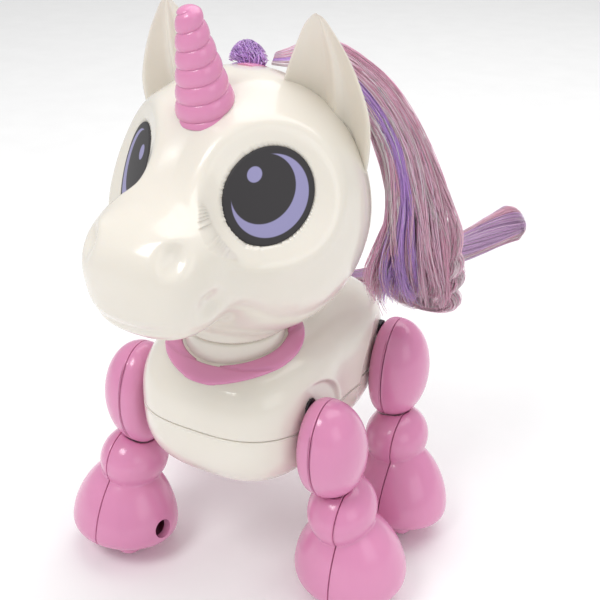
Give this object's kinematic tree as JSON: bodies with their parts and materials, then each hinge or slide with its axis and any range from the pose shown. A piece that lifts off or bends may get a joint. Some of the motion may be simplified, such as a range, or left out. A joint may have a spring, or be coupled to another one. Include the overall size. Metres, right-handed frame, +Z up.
{
  "type": "walking toy unicorn",
  "caption": "Battery walking toy unicorn: bean-shaped body, swinging legs with rollers in the hooves, turning head with a horn, hair mane and tail.",
  "frame": {"origin": "On the floor, under the middle of the bounding box; the plane of symmetry of body and head is x = 0.", "axes": "+Z up, the animal faces -Y and its left side is +X, so +X is the shortest extent and +Z the longest."},
  "size_m": [0.1068, 0.1696, 0.1759],
  "materials": {
    "ivory_plastic": "moulded, polished",
    "pink_plastic": "moulded, polished",
    "mane_fibre": "shiny synthetic hair, pink with white and purple strands",
    "tail_fibre": "shiny synthetic hair, lilac",
    "eye_lens": "printed, clear coated",
    "black_plastic": "moulded",
    "steel": "plain",
    "nylon": "moulded",
    "roller_plastic": "moulded",
    "grey_plastic": "moulded",
    "circuit_board": "green solder mask",
    "battery_wrap": "plain wrap"
  },
  "bodies": {
    "root": {"body_upper_shell": "ivory_plastic", "body_lower_shell": "ivory_plastic", "battery_door": "ivory_plastic", "battery_door_screw": "steel", "battery_cell_1": "battery_wrap", "battery_cell_2": "battery_wrap", "battery_cell_3": "battery_wrap", "collar_ring": "pink_plastic", "neck_post": "ivory_plastic", "tail_plug": "pink_plastic", "tail_hair": "tail_fibre", "motor": "steel", "gearbox_frame": "grey_plastic", "circuit_board": "circuit_board", "speaker": "grey_plastic"},
    "switch": {"power_switch": "black_plastic"},
    "head": {"head_front_shell": "ivory_plastic", "head_back_shell": "ivory_plastic", "horn": "pink_plastic", "ear_left": "ivory_plastic", "ear_right": "ivory_plastic", "eye_left": "eye_lens", "eye_right": "eye_lens", "mane_root_strip": "pink_plastic", "mane_front": "mane_fibre", "mane_back": "mane_fibre"},
    "pinion": {"motor_pinion": "nylon"},
    "compound_1": {"compound_gear_1": "nylon"},
    "compound_2": {"compound_gear_2": "nylon"},
    "crank_rear": {"crank_shaft_rear": "steel", "crank_gear_drive": "nylon", "crank_gear_rear": "nylon"},
    "idler_rear": {"idler_gear_rear": "nylon"},
    "idler_front": {"idler_gear_front": "nylon"},
    "crank_front": {"crank_shaft_front": "steel", "crank_gear_front": "nylon"},
    "left_front_leg": {"left_front_thigh_inner": "pink_plastic", "left_front_thigh_outer": "pink_plastic", "left_front_hoof_inner": "pink_plastic", "left_front_hoof_outer": "pink_plastic", "left_front_hip_pin": "steel"},
    "left_front_wheel": {"left_front_roller": "roller_plastic"},
    "right_front_leg": {"right_front_thigh_inner": "pink_plastic", "right_front_thigh_outer": "pink_plastic", "right_front_hoof_inner": "pink_plastic", "right_front_hoof_outer": "pink_plastic", "right_front_hip_pin": "steel"},
    "right_front_wheel": {"right_front_roller": "roller_plastic"},
    "left_rear_leg": {"left_rear_thigh_inner": "pink_plastic", "left_rear_thigh_outer": "pink_plastic", "left_rear_hoof_inner": "pink_plastic", "left_rear_hoof_outer": "pink_plastic", "left_rear_hip_pin": "steel"},
    "left_rear_wheel": {"left_rear_roller": "roller_plastic"},
    "right_rear_leg": {"right_rear_thigh_inner": "pink_plastic", "right_rear_thigh_outer": "pink_plastic", "right_rear_hoof_inner": "pink_plastic", "right_rear_hoof_outer": "pink_plastic", "right_rear_hip_pin": "steel"},
    "right_rear_wheel": {"right_rear_roller": "roller_plastic"}
  },
  "joints": [
    {"name": "switch_slide", "type": "slide", "parent": "root", "child": "switch", "axis": [1, 0, 0], "range_m": [0, 0.004]},
    {"name": "head_swivel", "type": "hinge", "parent": "root", "child": "head", "pos_m": [0, -0.03491, 0.09], "axis": [0, 0, 1], "range_deg": [-15, 15]},
    {"name": "left_front_swing", "type": "hinge", "parent": "root", "child": "left_front_leg", "pos_m": [0.034, -0.03801, 0.06], "axis": [1, 0, 0], "range_deg": [-17.8, 1.4]},
    {"name": "right_front_swing", "type": "hinge", "parent": "root", "child": "right_front_leg", "pos_m": [-0.034, -0.03801, 0.06], "axis": [1, 0, 0], "range_deg": [-1.4, 17.8]},
    {"name": "left_rear_swing", "type": "hinge", "parent": "root", "child": "left_rear_leg", "pos_m": [0.034, 0.01159, 0.06], "axis": [1, 0, 0], "range_deg": [-1.4, 17.8]},
    {"name": "right_rear_swing", "type": "hinge", "parent": "root", "child": "right_rear_leg", "pos_m": [-0.034, 0.01159, 0.06], "axis": [1, 0, 0], "range_deg": [-17.8, 1.4]},
    {"name": "left_front_roll", "type": "hinge", "parent": "left_front_leg", "child": "left_front_wheel", "pos_m": [0.0365, -0.03008, 0.005], "axis": [1, 0, 0], "continuous": true},
    {"name": "right_front_roll", "type": "hinge", "parent": "right_front_leg", "child": "right_front_wheel", "pos_m": [-0.0365, -0.04594, 0.005], "axis": [1, 0, 0], "continuous": true},
    {"name": "left_rear_roll", "type": "hinge", "parent": "left_rear_leg", "child": "left_rear_wheel", "pos_m": [0.0365, 0.00366, 0.005], "axis": [1, 0, 0], "continuous": true},
    {"name": "right_rear_roll", "type": "hinge", "parent": "right_rear_leg", "child": "right_rear_wheel", "pos_m": [-0.0365, 0.01952, 0.005], "axis": [1, 0, 0], "continuous": true},
    {"name": "pinion_spin", "type": "hinge", "parent": "root", "child": "pinion", "pos_m": [0, -0.01531, 0.064], "axis": [1, 0, 0], "continuous": true},
    {"name": "compound_1_spin", "type": "hinge", "parent": "root", "child": "compound_1", "pos_m": [0, -0.00831, 0.0727], "axis": [1, 0, 0], "continuous": true},
    {"name": "compound_2_spin", "type": "hinge", "parent": "root", "child": "compound_2", "pos_m": [0, 0.00067, 0.066], "axis": [1, 0, 0], "continuous": true},
    {"name": "crank_rear_spin", "type": "hinge", "parent": "root", "child": "crank_rear", "pos_m": [0, 0.01159, 0.0685], "axis": [1, 0, 0], "continuous": true},
    {"name": "idler_rear_spin", "type": "hinge", "parent": "root", "child": "idler_rear", "pos_m": [0, -0.00481, 0.0685], "axis": [1, 0, 0], "continuous": true},
    {"name": "idler_front_spin", "type": "hinge", "parent": "root", "child": "idler_front", "pos_m": [0, -0.02161, 0.0685], "axis": [1, 0, 0], "continuous": true},
    {"name": "crank_front_spin", "type": "hinge", "parent": "root", "child": "crank_front", "pos_m": [0, -0.03801, 0.0685], "axis": [1, 0, 0], "continuous": true}
  ],
  "couplings": [
    {"joint": "compound_2_spin", "follows": "crank_rear_spin", "ratio": -2.5},
    {"joint": "compound_1_spin", "follows": "crank_rear_spin", "ratio": 6.25},
    {"joint": "pinion_spin", "follows": "crank_rear_spin", "ratio": -15.625},
    {"joint": "idler_rear_spin", "follows": "crank_rear_spin", "ratio": -0.95238},
    {"joint": "idler_front_spin", "follows": "crank_rear_spin", "ratio": 0.95238},
    {"joint": "crank_front_spin", "follows": "crank_rear_spin", "ratio": -1},
    {"joint": "left_rear_swing", "follows": "right_front_swing", "ratio": 1},
    {"joint": "left_front_swing", "follows": "right_front_swing", "ratio": -1},
    {"joint": "right_rear_swing", "follows": "right_front_swing", "ratio": -1}
  ]
}
